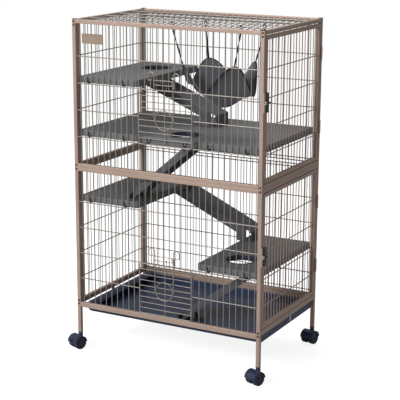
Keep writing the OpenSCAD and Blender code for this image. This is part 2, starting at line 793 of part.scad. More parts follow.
// A ramp that slopes to one side (dir) from its head, under a shelf's top, to its foot, which stands
// on the height foot_z. It is open below, and its flanges reach down to foot_z round its toe.
module ramp(head, shelf_z, dir, foot, foot_z, y) {
    run = dir * (foot[0] - head[0]);
    low = foot_z + foot_gap - head[1];
    fall = head[1] - foot_z - foot[1];
    slope = fall / run;
    top_t = shelf_wall * sqrt(1 + slope * slope);
    toe_x = run - toe_l;
    color(shelf_colour) translate([head[0], y, head[1]]) mirror([dir < 0 ? 1 : 0, 0, 0]) {
        difference() {
            intersection() {
                translate([0, 0, low]) linear_extrude(-low) rounded(run, ramp_w, ramp_top_r, foot_r);
                ramp_outline([[0, 0], [0, -ramp_flange], [toe_x, max(low, -slope * toe_x - ramp_flange)],
                    [toe_x, low], [run, low], [run, -fall]]);
            }
            intersection() {
                translate([shelf_wall, 0, low - cut]) linear_extrude(-low) rounded(run - 2 * shelf_wall,
                    ramp_w - 2 * shelf_wall, ramp_top_r - shelf_wall, foot_r - shelf_wall);
                ramp_outline([[0, -top_t], [0, low - cut], [run, low - cut], [run, -fall - top_t]]);
            }
        }
        translate([-1, -tab_w / 2, -tab_t - 1])
            cube([tab_t, tab_w, shelf_z + shelf_h - shelf_wall - foot_gap - head[1] + tab_t + 1]);
    }
}

// Head of a ramp that passes under a hole's collar
function head_under(hole, shelf_z, dir) = [hole[0] - dir * ramp_reach, shelf_z + shelf_h - hole_collar - foot_gap];

module ramp_upper() {
    ramp(head_under(hole_upper, upper_shelf_z, 1), upper_shelf_z, 1, upper_foot, deck_z + shelf_h, hole_upper[1]);
}

module ramp_deck() {
    ramp(head_under(hole_deck, deck_z, -1), deck_z, -1, deck_foot, low_left_z + shelf_h,
        hole_deck[1] - deck_ramp_shift);
}

module ramp_long() {
    ramp([-shelf_pitch + shelf_l / 2 - long_head, low_left_z + shelf_h - shelf_wall - long_head_gap], low_left_z, 1,
        long_foot, low_right_z + shelf_h, long_ramp_y);
}

module ramp_lower() {
    ramp(head_under(hole_low_right, low_right_z, -1) - [0, low_head_drop], low_right_z, -1, low_foot, tray_floor,
        hole_low_right[1]);
}

// Hammock: a cloth hung by four corners. Its surface is the blend of the corners, less the sag
// of the four edges, which lean to the narrow corners and stand out between them, with soft folds.
function mix(a, b, t) = a * (1 - t) + b * t;
function hump(t) = sin(180 * t) * sin(180 * t);
function hammock_flat(u, v) =
    let (c = hammock_corner)
    mix(mix(c[0], c[1], u), mix(c[3], c[2], u), v);
function hammock_point(u, v, side) =
    let (plan = hammock_flat(u + mix(-out_left, out_right, u) / hammock_w * sin(180 * v),
        v + mix(-out_front, out_rear, v) / hammock_l * sin(180 * u)))
    let (sag_x = mix(sag_front * hump(pow(u, 0.92)), sag_rear * hump(pow(u, 1.15)), v))
    let (sag_y = mix(sag_left * hump(pow(v, 0.85)), sag_right * hump(pow(v, 1.1)), u))
    let (pouch = (pouch_lift - fold_depth * cos(720 * v)) * hump(u) * hump(v))
    [plan[0], plan[1], base_z + hammock_flat(u, v)[2] - sag_x - sag_y + pouch + side * cloth_t / 2];

module hammock() {
    n = hammock_steps;
    top = [for (i = [0:n], j = [0:n]) hammock_point(i / n, j / n, 1)];
    low = [for (i = [0:n], j = [0:n]) hammock_point(i / n, j / n, -1)];
    m = (n + 1) * (n + 1);
    function at(i, j) = i * (n + 1) + j;
    sheet = [for (i = [0:n - 1], j = [0:n - 1]) each [
        [at(i, j), at(i, j + 1), at(i + 1, j + 1)],
        [at(i, j), at(i + 1, j + 1), at(i + 1, j)],
        [m + at(i, j), m + at(i + 1, j + 1), m + at(i, j + 1)],
        [m + at(i, j), m + at(i + 1, j), m + at(i + 1, j + 1)]]];
    edge = concat([for (i = [0:n - 1]) [at(i, 0), at(i + 1, 0)]], [for (j = [0:n - 1]) [at(n, j), at(n, j + 1)]],
        [for (i = [n:-1:1]) [at(i, n), at(i - 1, n)]], [for (j = [n:-1:1]) [at(0, j), at(0, j - 1)]]);
    hem = [for (e = edge) each [[e[0], e[1], m + e[1]], [e[0], m + e[1], m + e[0]]]];
    color(cloth_colour) polyhedron(concat(top, low), concat(sheet, hem));
}

clip_hang = top_row_z + row_d / 2 + wire_gap + clip_wire_d / 2 - clip_r;
clip_order = [0, 1, 2, 3];

function clip_point(i) = [clip_at[i][0], (clip_at[i][1] == 0 ? -3 : -1) * top_row_y, clip_hang];

module hammock_straps() {
    top_end = [0, 0, -clip_r - clip_wire_d / 2 - 0.3];
    low_end = [0, 0, base_z + cloth_t / 2 + strap_gap];
    color(black) for (i = clip_order) rod(clip_point(i) + top_end, hammock_corner[i] + low_end, strap_d);
}

module hammock_clips() {
    color(black) for (i = clip_order) translate(clip_point(i)) rotate([0, 90, 0])
        rotate_extrude() translate([clip_r, 0]) circle(d = clip_wire_d, $fn = 32);
}

// A small door, bent from one wire, with bars, a ring and the two guides of its latch
module small_door(s) {
    z0 = door_low_z(s);
    z1 = door_top_z(s);
    r = door_bend;
    side_l = z1 - z0 - 2 * r;
    bay = (z1 - z0) / (door_bars + 1);
    color(frame_colour) {
        for (x = [-door_half, door_half]) wire([x, -door_y, z0 + r], side_l, 2, row_d);
        for (z = [z0, z1]) wire([-door_half + r, -door_y, z], 2 * (door_half - r), 0, row_d);
        bend([door_half - r, -door_y, z1 - r], r, 0, 90, row_d);
        bend([-door_half + r, -door_y, z1 - r], r, 90, 180, row_d);
        bend([-door_half + r, -door_y, z0 + r], r, 180, 270, row_d);
        bend([door_half - r, -door_y, z0 + r], r, 270, 360, row_d);
    }
    reach = 2 * door_half - row_d - 2 * wire_gap;
    color(wire_colour) {
        for (k = [1:door_bars]) wire([-reach / 2, -door_y, z0 + k * bay], reach, 0, wire_d);
        wire([ring_x, -bar_back_y, z0 + row_d], z1 - z0 - 2 * row_d, 2, wire_d);
        bend([ring_x, -(door_y + wire_d + 0.55), ring_z(s)], ring_r, 0, 360, wire_d);
        for (side = [-1, 1]) guide(s, side);
    }
}

// A latch guide: straight up from the ring's side, then a scroll outwards
module guide(s, side) {
    z = door_top_z(s) + guide_rise;
    curl = scroll_r - 4;
    translate([ring_x, 0, 0]) mirror([side < 0 ? 1 : 0, 0, 0]) {
        wire([guide_x, -guide_y, ring_z(s)], z - ring_z(s), 2, guide_d);
        bend([guide_x + scroll_r, -guide_y, z], scroll_r, 0, 180, guide_d);
        wire([guide_x + 2 * scroll_r, -guide_y, z - 8], 8, 2, guide_d);
        bend([guide_x + 2 * scroll_r - curl, -guide_y, z - 8], curl, -150, 0, guide_d);
    }
}

module small_door_lower() { small_door(0); }

module small_door_upper() { small_door(1); }

// A drop latch: bars with eyes that slide on the guides, and a hook that drops behind the row wire
module drop_latch(s) {
    z = door_top_z(s);
    bore = guide_d + 2 * eye_gap;
    eye_d = bore + 2 * eye_wall;
    hook_y = row_y - hook_back;
    bar_z = z + latch_bars[0];
    turn_z = [for (t = latch_turns) z + (row_d + eye_h) / 2 + latch_drop + foot_gap + t];
    tip_z = z + row_d / 2 + hook_lift;
    color(wire_colour) difference() {
        union() {
            for (h = latch_bars) wire([ring_x - guide_x, -guide_y, z + h], 2 * guide_x, 0, wire_d);
            for (h = latch_bars) wire([ring_x - guide_x, -guide_y, z + h - eye_h / 2], eye_h, 2, eye_d);
            for (h = turn_z) wire([ring_x + guide_x, -guide_y, h - eye_h / 2], eye_h, 2, eye_d);
            wire([ring_x + guide_x + eye_d / 2, -guide_y, turn_z[0] - eye_h / 2],
                turn_z[2] - turn_z[0] + eye_h, 2, hook_d);
            wire([ring_x + guide_x - 2 * wire_d, -guide_y, bar_z], latch_bars[1] - latch_bars[0], 2, hook_d);
            wire([0, -guide_y, bar_z], guide_y - hook_y - hook_bend, 1, hook_d);
            translate([0, -hook_y - hook_bend, bar_z - hook_bend]) rotate([90, 0, 90])
                rotate_extrude(angle = 90) translate([hook_bend, 0]) circle(d = hook_d, $fn = 32);
            wire([0, -hook_y, tip_z], bar_z - hook_bend - tip_z, 2, hook_d);
        }
        for (side = [-1, 1]) wire([ring_x + side * guide_x, -guide_y, z - far / 2], far, 2, bore);
    }
}

module drop_latch_lower() { drop_latch(0); }

module drop_latch_upper() { drop_latch(1); }

// The tray's block, shrunk by t on every side, with its lower left edge rounded
module tray_block(t, top) {
    r = tray_round - t;
    z0 = tray_bottom + t;
    x1 = tray_right - t;
    w = 2 * (tray_half - t);
    left = tray_left + t;
    translate([left + r, -w / 2, z0]) cube([x1 - left - r, w, top - z0]);
    translate([left, -w / 2, z0 + r]) cube([x1 - left, w, top - z0 - r]);
    translate([left + r, -w / 2, z0 + r]) rotate([-90, 0, 0]) cylinder(r = r, h = w, $fn = 96);
}

module bottom_tray() {
    rim_x = [tray_left - 3, tray_right + 4];
    rim_half = tray_half + tray_rim;
    color(tray_colour) difference() {
        union() {
            tray_block(0, tray_top);
            translate([rim_x[0], 0, tray_top - rim_t]) linear_extrude(rim_t)
                rounded(rim_x[1] - rim_x[0], 2 * rim_half, 6, 2);
        }
        tray_block(tray_wall, tray_top + cut);
        translate([tray_right - 2 * tray_wall, button_y - notch_w / 2, rivet_z - button_l - 2])
            cube([far, notch_w, far]);
    }
}

module tray_button() {
    color(zinc) translate([out_x + 0.6, button_y, rivet_z]) rotate([90, 0, 90]) difference() {
        linear_extrude(button_t) translate([0, -button_l]) rotate([0, 0, 90])
            rounded(button_l + button_w / 2, button_w, 4, button_w / 2 - 0.01);
        translate([0, 0, -cut]) cylinder(r = bolt_d / 2 + shaft_gap, h = button_t + 2 * cut);
    }
}

// Where a caster stands: the swivel's place and its turn
module caster(i) {
    translate([caster_side[i][0] * post_x, caster_side[i][1] * post_y, 0])
        rotate([0, 0, caster_turn[i]]) children();
}

lever_w = 10;
lever_pin_d = 3;
lever_y = -(trail + hood_r + 2.5);
lever_z = wheel_r + 14;

// The hood over the twin wheels, with its web between them, its neck and its stem
module caster_fork(i, lever) {
    color(tray_colour) caster(i) {
        difference() {
            union() {
                translate([-hood_half, -trail, wheel_r]) rotate([0, 90, 0]) cylinder(r = hood_r, h = 2 * hood_half);
                cylinder(r = trail / 2 + 1, h = caster_h - 1.8);
                if (lever) for (side = [-1, 1]) translate([side * (lever_w / 2 + 2) - 1.5, lever_y, lever_z - 3.5])
                    cube([3, 12, 7]);
            }
            for (side = [0, 1]) mirror([side, 0, 0]) {
                translate([wheel_split / 2 - 1, -trail, wheel_r]) rotate([0, 90, 0]) {
                    cylinder(r = wheel_r + 1, h = far);
                }
                translate([wheel_split / 2 - 1, -far / 2, -cut]) cube([far, far, wheel_r + 2 + cut]);
            }
            translate([-far / 2, -far / 2, -far + wheel_r - 11]) cube(far);
            translate([-far / 2, -trail, wheel_r]) rotate([0, 90, 0]) cylinder(r = axle_d / 2 + shaft_gap, h = far);
            if (lever) {
                wire([-far / 2, lever_y + 1.5, lever_z], far, 0, lever_pin_d + 2 * shaft_gap);
                translate([-lever_w / 2 - 0.4, lever_y - 5, lever_z - 6]) cube([lever_w + 0.8, 11, 12]);
            }
        }
        translate([0, 0, caster_h - 4]) cylinder(d = stem_d, h = stem_l + 4);
    }
}

module caster_fork_front_left() { caster_fork(0, true); }

module caster_fork_front_right() { caster_fork(1, false); }

module caster_fork_rear_left() { caster_fork(2, false); }

module caster_fork_rear_right() { caster_fork(3, false); }

module wheel_pair(i) {
    shoulder = 3;
    color(tray_colour) caster(i) translate([0, -trail, wheel_r]) rotate([0, 90, 0]) {
        for (side = [0, 1]) mirror([0, 0, side]) translate([0, 0, wheel_split / 2]) difference() {
            rotate_extrude($fn = 96) {
                square([wheel_r - shoulder, wheel_w]);
                translate([0, shoulder]) square([wheel_r, wheel_w - 2 * shoulder]);
                for (z = [shoulder, wheel_w - shoulder]) translate([wheel_r - shoulder, z]) circle(shoulder);
            }
            translate([0, 0, wheel_w - 3]) difference() {
                cylinder(r = wheel_r - 6, h = 3 + cut);
                translate([0, 0, -cut]) cylinder(r = axle_d / 2 + 3, h = 3 + 3 * cut);
            }
        }
        cylinder(d = axle_d, h = wheel_split + 2 * cut, center = true);
    }
}

module caster_wheels_front_left() { wheel_pair(0); }

module caster_wheels_front_right() { wheel_pair(1); }

module caster_wheels_rear_left() { wheel_pair(2); }

module caster_wheels_rear_right() { wheel_pair(3); }

// The brake lever on the front left caster: a tab on a pin across the hood's two ears
module brake_lever() {
    color(black) caster(0) translate([0, lever_y + 1.5, lever_z]) {
        rotate([0, 90, 0]) cylinder(d = lever_pin_d, h = lever_w + 7, center = true);
        rotate([0, 90, 0]) cylinder(d = lever_pin_d + 3, h = lever_w, center = true);
        rotate([12, 0, 0]) translate([-lever_w / 2 + 0.5, -11, -1.2]) cube([lever_w - 1, 11, 2.4]);
    }
}

lower_posts();
upper_posts();
front_rails();
rear_rails();
left_frame_lower();
left_frame_upper();
right_rails();
joining_sleeves();
caster_sockets();
post_caps();
frame_bolts();
front_wires_lower();
front_wires_upper();
left_wires_lower();
left_wires_upper();
rear_wires_lower();
rear_wires_upper();
top_wires();
name_plate();
side_hinge_leaves();
side_hinge_pins();
latch_strikes();
tray_runners();
tray_stop();
tray_button_rivet();
shelf_upper_left();
deck_left();
deck_middle();
deck_right();
shelf_lower_left();
shelf_lower_right();
ramp_upper();
ramp_deck();
ramp_long();
ramp_lower();
hammock();
hammock_straps();
hammock_clips();
side_door_lower();
side_door_upper();
latch_case_lower();
latch_case_upper();
latch_bolt_lower();
latch_bolt_upper();
small_door_lower();
small_door_upper();
drop_latch_lower();
drop_latch_upper();
bottom_tray();
tray_button();
caster_fork_front_left();
caster_fork_front_right();
caster_fork_rear_left();
caster_fork_rear_right();
caster_wheels_front_left();
caster_wheels_front_right();
caster_wheels_rear_left();
caster_wheels_rear_right();
brake_lever();
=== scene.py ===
import math

import bmesh
import bpy
from mathutils import Matrix, Vector


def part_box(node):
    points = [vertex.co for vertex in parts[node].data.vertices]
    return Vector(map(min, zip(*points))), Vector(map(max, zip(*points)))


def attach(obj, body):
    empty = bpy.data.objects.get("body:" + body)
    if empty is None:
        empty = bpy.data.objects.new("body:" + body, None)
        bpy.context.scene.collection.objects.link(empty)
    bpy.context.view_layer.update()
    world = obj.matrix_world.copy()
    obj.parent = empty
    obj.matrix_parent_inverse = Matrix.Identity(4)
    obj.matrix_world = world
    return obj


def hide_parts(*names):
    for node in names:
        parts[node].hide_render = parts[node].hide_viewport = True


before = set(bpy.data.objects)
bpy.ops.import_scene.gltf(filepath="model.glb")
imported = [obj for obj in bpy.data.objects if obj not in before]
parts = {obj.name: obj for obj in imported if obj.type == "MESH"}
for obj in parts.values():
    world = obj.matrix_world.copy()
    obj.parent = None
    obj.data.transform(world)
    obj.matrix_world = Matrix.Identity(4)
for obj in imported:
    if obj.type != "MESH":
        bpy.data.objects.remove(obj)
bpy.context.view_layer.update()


# ---- Camera
# The picture is taken from the cage's front right corner, a little above the roof, with a long lens
# that keeps the posts nearly upright.
def place_camera(aim, distance, turn, drop, roll, lens):
    turn, drop, roll = (math.radians(a) for a in (turn, drop, roll))
    back = Vector((math.sin(turn) * math.cos(drop), -math.cos(turn) * math.cos(drop), math.sin(drop)))
    right = Vector((math.cos(turn), math.sin(turn), 0))
    up = back.cross(right)
    side = right * math.cos(roll) + up * math.sin(roll)
    top = up * math.cos(roll) - right * math.sin(roll)
    facing = Matrix((side, top, back)).transposed().to_4x4()
    camera = bpy.data.objects.new("camera", bpy.data.cameras.new("camera"))
    camera.matrix_world = Matrix.Translation(Vector(aim) + back * distance) @ facing
    camera.data.lens = lens
    camera.data.sensor_width = 36
    camera.data.clip_end = 100
    bpy.context.scene.collection.objects.link(camera)
    bpy.context.scene.camera = camera


place_camera(aim=(0.0101, 0, 0.5913), distance=4.810, turn=28.31, drop=13.98, roll=0.25, lens=112.2)


# ---- Studio
# A white floor without an edge, a weak even sky, one large soft lamp high to the left of the camera, and a
# weaker one overhead. What faces right stays in soft shade, as in the picture.
def soft_lamp(name, at, aim, size, power):
    lamp = bpy.data.objects.new(name, bpy.data.lights.new(name, "AREA"))
    lamp.data.shape = "DISK"
    lamp.data.size = size
    lamp.data.energy = power
    lamp.location = at
    lamp.rotation_euler = (Vector(aim) - Vector(at)).to_track_quat("-Z", "Y").to_euler()
    bpy.context.scene.collection.objects.link(lamp)


soft_lamp("key_lamp", at=(-1.5, -4.6, 3.1), aim=(0, 0, 0.75), size=1.9, power=205)
soft_lamp("top_lamp", at=(-0.5, 0.7, 4.2), aim=(0, 0, 0.6), size=2.2, power=55)

white = (1, 1, 1, 1)
sky_light = 0.34
sky = bpy.data.worlds.new("sky")
sky.use_nodes = True
sky.node_tree.nodes["Background"].inputs["Color"].default_value = white
sky.node_tree.nodes["Background"].inputs["Strength"].default_value = sky_light
bpy.context.scene.world = sky
bpy.context.scene.view_settings.view_transform = "Standard"

# The floor takes shadows, and what the camera sees of it is lifted to a paper white.
floor_half = 60
floor_grey = (0.42, 0.42, 0.42, 1)
floor_lift = 0.84
floor_mesh = bmesh.new()
bmesh.ops.create_grid(floor_mesh, x_segments=1, y_segments=1, size=floor_half)
floor_data = bpy.data.meshes.new("studio_floor")
floor_mesh.to_mesh(floor_data)
floor_mesh.free()
studio_floor = bpy.data.objects.new("studio_floor", floor_data)
bpy.context.scene.collection.objects.link(studio_floor)
floor_paint = bpy.data.materials.new("pale floor")
floor_paint.use_nodes = True
floor_shader = floor_paint.node_tree.nodes["Principled BSDF"]
floor_shader.inputs["Base Color"].default_value = floor_grey
floor_shader.inputs["Roughness"].default_value = 0.9
floor_shader.inputs["Emission Color"].default_value = white
seen = floor_paint.node_tree.nodes.new("ShaderNodeLightPath")
white_out = floor_paint.node_tree.nodes.new("ShaderNodeMath")
white_out.operation = "MULTIPLY"
white_out.inputs[1].default_value = floor_lift
floor_paint.node_tree.links.new(seen.outputs["Is Camera Ray"], white_out.inputs[0])
floor_paint.node_tree.links.new(white_out.outputs[0], floor_shader.inputs["Emission Strength"])
floor_data.materials.append(floor_paint)


# ---- Frame tubes
# Square steel tube, cut, welded and bolted, with a bronze metallic powder coat. The coat has a fine
# orange peel and a drift of tone, and the glint of its flakes is painted as pale specks, a painted highlight.
def effect(name, sizes, outputs):
    group = bpy.data.node_groups.new(name, "ShaderNodeTree")
    for socket, value in sizes.items():
        made = group.interface.new_socket(socket, in_out="INPUT", socket_type="NodeSocketFloat")
        made.default_value = value
    for socket in outputs:
        group.interface.new_socket(socket, in_out="OUTPUT", socket_type="NodeSocketFloat")
    return group, group.nodes.new("NodeGroupInput"), group.nodes.new("NodeGroupOutput")


def spread(tree, value, low, high, start=0.3, end=0.7):
    """The value's stretch from start to end, brought to the stretch from low to high."""
    node = tree.nodes.new("ShaderNodeMapRange")
    node.inputs["From Min"].default_value = start
    node.inputs["From Max"].default_value = end
    node.inputs["To Min"].default_value = low
    node.inputs["To Max"].default_value = high
    tree.links.new(value, node.inputs["Value"])
    return node.outputs["Result"]


# Fine grain, a slow drift of tone, and small specks, all over the surface in object space.
surface, surface_in, surface_out = effect(
    "surface", {"Grain Scale": 900.0, "Drift Scale": 6.0, "Speck Scale": 260.0}, ("Grain", "Drift", "Speck"))
place = surface.nodes.new("ShaderNodeTexCoord")
for socket, detail in (("Grain", 3.0), ("Drift", 4.0), ("Speck", 1.0)):
    cloud = surface.nodes.new("ShaderNodeTexNoise")
    cloud.inputs["Detail"].default_value = detail
    cloud.inputs["Roughness"].default_value = 0.5
    surface.links.new(surface_in.outputs[socket + " Scale"], cloud.inputs["Scale"])
    surface.links.new(place.outputs["Object"], cloud.inputs["Vector"])
    result = cloud.outputs["Fac"]
    if socket == "Speck":
        result = spread(surface, result, 0.0, 1.0, 0.66, 0.76)
    surface.links.new(result, surface_out.inputs[socket])


def coated(name, colour, second, roughness, scales, bump, depth=0.0002,
           metallic=0.0, coat=0.0, sheen=0.0, speck=None):
    """A finish that drifts between two colours. Scales are those of its grain, drift and specks."""
    finish = bpy.data.materials.new(name)
    finish.use_nodes = True
    tree = finish.node_tree
    shader = tree.nodes["Principled BSDF"]
    shader.inputs["Metallic"].default_value = metallic
    shader.inputs["Coat Weight"].default_value = coat
    shader.inputs["Coat Roughness"].default_value = 0.25
    shader.inputs["Sheen Weight"].default_value = sheen
    shader.inputs["Sheen Roughness"].default_value = 0.5
    detail = tree.nodes.new("ShaderNodeGroup")
    detail.node_tree = surface
    for socket, value in zip(("Grain Scale", "Drift Scale", "Speck Scale"), scales):
        detail.inputs[socket].default_value = value
    blend = tree.nodes.new("ShaderNodeMix")
    blend.data_type = "RGBA"
    blend.inputs["A"].default_value = (*colour, 1)
    blend.inputs["B"].default_value = (*second, 1)
    tree.links.new(spread(tree, detail.outputs["Drift"], 0.0, 1.0), blend.inputs["Factor"])
    colour_out = blend.outputs["Result"]
    if speck:
        dots = tree.nodes.new("ShaderNodeMix")
        dots.data_type = "RGBA"
        dots.inputs["B"].default_value = (*speck, 1)
        tree.links.new(colour_out, dots.inputs["A"])
        tree.links.new(detail.outputs["Speck"], dots.inputs["Factor"])
        colour_out = dots.outputs["Result"]
    tree.links.new(colour_out, shader.inputs["Base Color"])
    wear = spread(tree, detail.outputs["Drift"], roughness - 0.06, roughness + 0.08)
    tree.links.new(wear, shader.inputs["Roughness"])
    relief = tree.nodes.new("ShaderNodeBump")
    relief.inputs["Strength"].default_value = bump
    relief.inputs["Distance"].default_value = depth
    tree.links.new(detail.outputs["Grain"], relief.inputs["Height"])
    tree.links.new(relief.outputs["Normal"], shader.inputs["Normal"])
    return finish


def paint(material, *names):
    for name in names:
        parts[name].data.materials.clear()
        parts[name].data.materials.append(material)


# The pale specks are painted glint of the coat's flakes.
bronze_coat = coated(
    "bronze powder coat", (0.425, 0.308, 0.250), (0.485, 0.358, 0.292), roughness=0.42,
    scales=(1400, 5, 700), bump=0.2, metallic=0.3, coat=0.12, speck=(0.62, 0.51, 0.43))
paint(bronze_coat, "lower_posts", "upper_posts", "front_rails", "rear_rails", "left_frame_lower",
      "left_frame_upper", "right_rails", "side_hinge_leaves", "tray_runners", "tray_stop")

# ---- Sleeves, sockets, caps and bolts
# Steel sleeves join the posts inside, plastic sockets and caps plug their ends, and dark domed bolts
# go through the posts' front and rear faces.
zinc_plate = coated(
    "zinc plate", (0.55, 0.55, 0.54), (0.66, 0.66, 0.65), roughness=0.30,
    scales=(700, 14, 300), bump=0.08, metallic=1.0)
# Black moulding, also used as the painted shade of the shelves' hooks and slots.
black_moulding_and_painted_shade = coated(
    "black moulding", (0.018, 0.018, 0.02), (0.028, 0.028, 0.032), roughness=0.42,
    scales=(1600, 9, 500), bump=0.25)
bolt_steel = coated(
    "dark bolt steel", (0.075, 0.06, 0.055), (0.11, 0.085, 0.075), roughness=0.34,
    scales=(900, 30, 400), bump=0.1, metallic=0.7)
cap_moulding = coated(
    "brown black moulding", (0.050, 0.040, 0.038), (0.070, 0.056, 0.052), roughness=0.40,
    scales=(1600, 9, 500), bump=0.25)
paint(zinc_plate, "joining_sleeves", "side_hinge_pins", "tray_button", "tray_button_rivet")
paint(black_moulding_and_painted_shade, "caster_sockets")
paint(cap_moulding, "post_caps")
paint(bolt_steel, "frame_bolts")

# ---- Wire panels
# Drawn steel wire, the close wires behind the row wires and welded where they cross, with the same
# champagne coat all round.
wire_coat = coated(
    "champagne wire coat", (0.33, 0.295, 0.265), (0.39, 0.35, 0.31), roughness=0.36,
    scales=(1200, 8, 500), bump=0.08, metallic=0.35)
paint(wire_coat, "front_wires_lower", "front_wires_upper", "left_wires_lower", "left_wires_upper",
      "rear_wires_lower", "rear_wires_upper", "top_wires")

# ---- Small front doors
# Each is bent from one wire with bars welded on, and its drop latch is bent from wire too and slides on
# two guides. They have the panels' coat.
paint(wire_coat, "small_door_lower", "small_door_upper", "drop_latch_lower", "drop_latch_upper")

# ---- Name plate
# A small thin plate, clipped on the wires at the top left of the upper front panel. Its face is a satin tan,
# with nothing on it.
plate_metal = coated(
    "tan plate", (0.325, 0.240, 0.180), (0.375, 0.280, 0.212), roughness=0.38,
    scales=(800, 20, 400), bump=0.1, metallic=0.2)
paint(plate_metal, "name_plate")

# ---- Side doors and their latches
# Welded tube with its own wire grille. A brown moulded latch case sits on the free edge, its bolt has a round
# knob, and the strike it shoots into is screwed to the post. The strike's pale cream, with little metallic,
# is painted reflection.
paint(bronze_coat, "side_door_lower", "side_door_upper")
paint(cap_moulding, "latch_case_lower", "latch_case_upper", "latch_bolt_lower", "latch_bolt_upper")
# Pale cream with little metallic: painted reflection on the strike.
strike_painted_reflection = coated(
    "pale painted reflection on strike", (0.66, 0.60, 0.53), (0.74, 0.68, 0.60), roughness=0.34,
    scales=(900, 20, 400), bump=0.08, metallic=0.15)
paint(strike_painted_reflection, "latch_strikes")

# ---- Shelves
# Moulded from grey plastic with a fine matt grain, open below. A hole's lip and collar are the shelf's
# plastic, painted dark navy as painted shade. Hooks at the foot of the skirt, with a slot each side, catch
# the cage's wires;
# the hooks and their slots are painted black as painted shade.
shelf_plastic = coated(
    "grey shelf plastic", (0.125, 0.127, 0.132), (0.148, 0.150, 0.155), roughness=0.50,
    scales=(1100, 7, 380), bump=0.45, depth=0.0003, speck=(0.19, 0.19, 0.195))
# Dark navy on the hole's lip and collar: painted shade on the shelf's own plastic.
rim_painted_shade = coated(
    "navy painted shade on hole rim", (0.018, 0.024, 0.045), (0.026, 0.032, 0.055), roughness=0.42,
    scales=(1100, 12, 380), bump=0.2)


def solid_of(node):
    """The CAD solid with its doubles merged and its flat faces whole."""
    shape = bmesh.new()
    shape.from_mesh(parts[node].data)
    bmesh.ops.remove_doubles(shape, verts=shape.verts, dist=1e-6)
    bmesh.ops.dissolve_limit(shape, angle_limit=math.radians(1), verts=shape.verts, edges=shape.edges)
    return shape


def ease_rim(shape, radius, flattest, steepest):
    """Eases the edges where the top, sloping as given, meets an upright wall. The bevel stops at what the
    shortest edge beside it allows, so most of the easing is left to the rounding of every sharp edge."""
    shape.normal_update()
    rim = []
    for edge in shape.edges:
        ups = sorted(face.normal.z for face in edge.link_faces)
        if len(ups) == 2 and abs(ups[0]) < 0.02 and steepest < ups[1] < flattest:
            rim.append(edge)
    bmesh.ops.bevel(shape, geom=rim, offset=radius, offset_type="OFFSET", segments=4, profile=0.5,
                    affect="EDGES", material=-1, clamp_overlap=True)


def moulded(node, shape, body, materials, radius, segments=3):
    """The shape as a piece that stands for the node, with sharp edges rounded, as they leave the mould."""
    data = bpy.data.meshes.new(node + "_moulded")
    shape.to_mesh(data)
    shape.free()
    for material in materials:
        data.materials.append(material)
    piece = bpy.data.objects.new(node + "_moulded", data)
    bpy.context.scene.collection.objects.link(piece)
    edge = piece.modifiers.new("rounded edges", "BEVEL")
    edge.width = radius
    edge.segments = segments
    edge.limit_method = "ANGLE"
    edge.angle_limit = math.radians(35)
    edge.harden_normals = True
    for face in data.polygons:
        face.use_smooth = True
    data.set_sharp_from_angle(angle=math.radians(35))
    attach(piece, body)
    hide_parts(node)
    return piece


# The middles of the three holes, and for the ramp under each: the side of its head, its slope, and the room
# between the shelf's top and its head.
shelf_holes = {
    "shelf_upper_left": ((-0.235, 0.09), -1, 0.418, 0.007),
    "deck_middle": ((0.025, -0.145), 1, 0.845, 0.007),
    "shelf_lower_right": ((0.245, -0.11), 1, 0.726, 0.019)}
hole_r = 0.055
collar_depth = 0.019
# From the hole's middle to where the ramp's head starts
ramp_reach = hole_r + 0.007
# The rim's section, out from the hole's wall and up from the shelf's top: a round lip, then the collar.
rim_section = ((0.0054, 0.0002), (0.0050, 0.0012), (0.0025, 0.0017), (0.0002, 0.0013), (-0.0009, 0.0002),
               (-0.0013, -0.0015), (-0.0014, -collar_depth), (-0.0003, -collar_depth), (-0.0002, -0.0002))


def hole_rim(shape, top_z, centre, head_side, slope, room):
    """Spins the rim round the hole and gives its faces the second material, a dark navy that is painted
    shade. Its collar is less deep where the ramp passes under it.
    """
    centre = Vector(centre)
    section = [shape.verts.new((centre.x + hole_r + out, centre.y, top_z + up)) for out, up in rim_section]
    loop = [shape.edges.new((section[i], section[(i + 1) % len(section)])) for i in range(len(section))]
    old_faces = set(shape.faces)
    bmesh.ops.spin(shape, geom=section + loop, cent=(centre.x, centre.y, 0), axis=(0, 0, 1),
                   angle=math.tau, steps=96, use_merge=True)
    rim_faces = [face for face in shape.faces if face not in old_faces]
    for face in rim_faces:
        # Painted shade: the rim's faces take the dark navy.
        face.material_index = 1
    for vert in {vert for face in rim_faces for vert in face.verts}:
        from_head = ramp_reach - head_side * (vert.co.x - centre.x)
        vert.co.z = max(vert.co.z, top_z - min(collar_depth, room + slope * from_head))
    bmesh.ops.recalc_face_normals(shape, faces=rim_faces)


# The hooks' places on a module of the left, middle or right column. A hook is what stands proud of the skirt.
# The hook and the slots at its two sides are painted black as painted shade.
shelf_hooks = {-1: (-0.3302, -0.1778), 0: (-0.0762, 0.0762), 1: (0.1778, 0.3302)}
column_pitch = 0.25
skirt_y = 0.2384
slot_y = 0.2345
slot_up = 0.011
slot_half_gap = 0.0075
slot_size = (0.0066, 0.0018, 0.0136)


def paint_hook_shade(shape, low, high):
    """Paints the hooks black as painted shade, and sets a black box in each of their slots as painted shade.
    """
    for face in shape.faces:
        if abs(face.calc_center_median().y) > skirt_y:
            # Painted shade: the hook's faces take the black material.
            face.material_index = 2
    column = round((low[0] + high[0]) / 2 / column_pitch)
    for x in shelf_hooks[column]:
        for side in (-1, 1):
            for way in (-slot_half_gap, slot_half_gap):
                slot_at = Matrix.Translation((x + way, side * slot_y, low[2] + slot_up))
                slot_form = slot_at @ Matrix.Diagonal((*slot_size, 1))
                # A black box behind the slot: painted shade where light would show through.
                slot_shade_box = bmesh.ops.create_cube(shape, size=1, matrix=slot_form)
                for face in {face for vert in slot_shade_box["verts"] for face in vert.link_faces}:
                    face.material_index = 2


